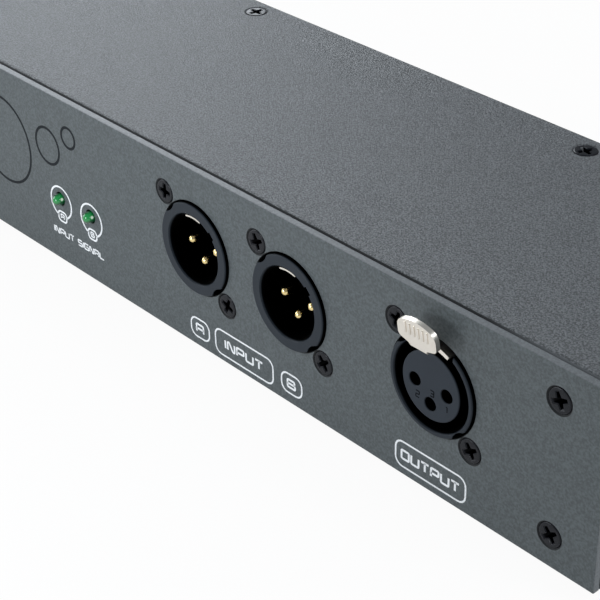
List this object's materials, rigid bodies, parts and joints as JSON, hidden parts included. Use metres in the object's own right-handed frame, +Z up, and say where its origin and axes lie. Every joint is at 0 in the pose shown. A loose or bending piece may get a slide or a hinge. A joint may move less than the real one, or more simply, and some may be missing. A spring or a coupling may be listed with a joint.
{
  "type": "lighting control signal merger",
  "caption": "Free-standing signal merger in a folded steel box: front panel with pin inputs, a latching socket output and signal lamps, power inlet and rocker switch at the rear.",
  "frame": {"origin": "middle of the overall width and depth, on the surface that the feet stand on", "axes": "+X to the right seen from the front, along the panel; +Y to the rear, away from the front panel; +Z up"},
  "size_m": [0.242, 0.0836, 0.0503],
  "materials": {
    "grey_paint": "dark grey fine powder coat on steel sheet",
    "black_steel": "black oxide",
    "black_anodised": "black anodised",
    "zinc": "zinc plated",
    "nickel": "bright nickel plate",
    "gold": "gold plated",
    "housing_plastic": "satin dark grey",
    "insert_plastic": "satin dark grey",
    "black_plastic": "satin black",
    "lamp_green": "clear tinted epoxy",
    "board_green": "solder resist",
    "capacitor_blue": "sleeved",
    "rubber": "matt"
  },
  "bodies": {
    "box": {"front_panel": "grey_paint", "chassis_tray": "grey_paint", "top_cover": "grey_paint", "panel_screw_left_low": "black_steel", "panel_screw_left_high": "black_steel", "panel_screw_right_low": "black_steel", "panel_screw_right_high": "black_steel", "cover_screw_left": "black_steel", "cover_screw_right": "black_steel", "board_screw_front_left": "zinc", "board_screw_front_right": "zinc", "board_screw_rear_left": "zinc", "board_screw_rear_right": "zinc", "rubber_foot_front_left": "rubber", "rubber_foot_front_right": "rubber", "rubber_foot_rear_left": "rubber", "rubber_foot_rear_right": "rubber", "input_a_housing": "housing_plastic", "input_a_insert": "black_plastic", "input_a_ground_contact": "nickel", "input_a_pin_1": "gold", "input_a_pin_2": "gold", "input_a_pin_3": "gold", "input_a_screw_left": "black_steel", "input_a_screw_right": "black_steel", "input_b_housing": "housing_plastic", "input_b_insert": "black_plastic", "input_b_ground_contact": "nickel", "input_b_pin_1": "gold", "input_b_pin_2": "gold", "input_b_pin_3": "gold", "input_b_screw_left": "black_steel", "input_b_screw_right": "black_steel", "output_housing": "housing_plastic", "output_insert": "insert_plastic", "output_contact_1": "gold", "output_contact_2": "gold", "output_contact_3": "gold", "output_screw_left": "black_steel", "output_screw_right": "black_steel", "latch_pin": "zinc", "latch_spring": "zinc", "lamp_a": "lamp_green", "lamp_b": "lamp_green", "lamp_a_holder": "black_plastic", "lamp_b_holder": "black_plastic", "main_board": "board_green", "input_a_receiver": "black_plastic", "input_b_receiver": "black_plastic", "output_driver": "black_plastic", "controller_chip": "black_plastic", "voltage_regulator": "black_plastic", "heat_sink": "black_anodised", "heat_sink_screw": "zinc", "reservoir_capacitor": "capacitor_blue", "dc_inlet_body": "black_plastic", "dc_inlet_pin": "nickel", "switch_body": "black_plastic"},
    "latch": {"latch_lever": "nickel"},
    "rocker": {"switch_rocker": "black_plastic"}
  },
  "joints": [
    {"name": "latch_hinge", "type": "hinge", "parent": "box", "child": "latch", "pos_m": [0.0775, -0.02122, 0.0413], "axis": [-1, 0, 0], "range_deg": [0, 4], "stiffness_Nm_per_rad": 0.25, "springref_deg": -11.46, "deforming": ["latch_spring"]},
    {"name": "rocker_hinge", "type": "hinge", "parent": "box", "child": "rocker", "pos_m": [-0.029, 0.03758, 0.0247], "axis": [-1, 0, 0], "range_deg": [0, 18]}
  ]
}
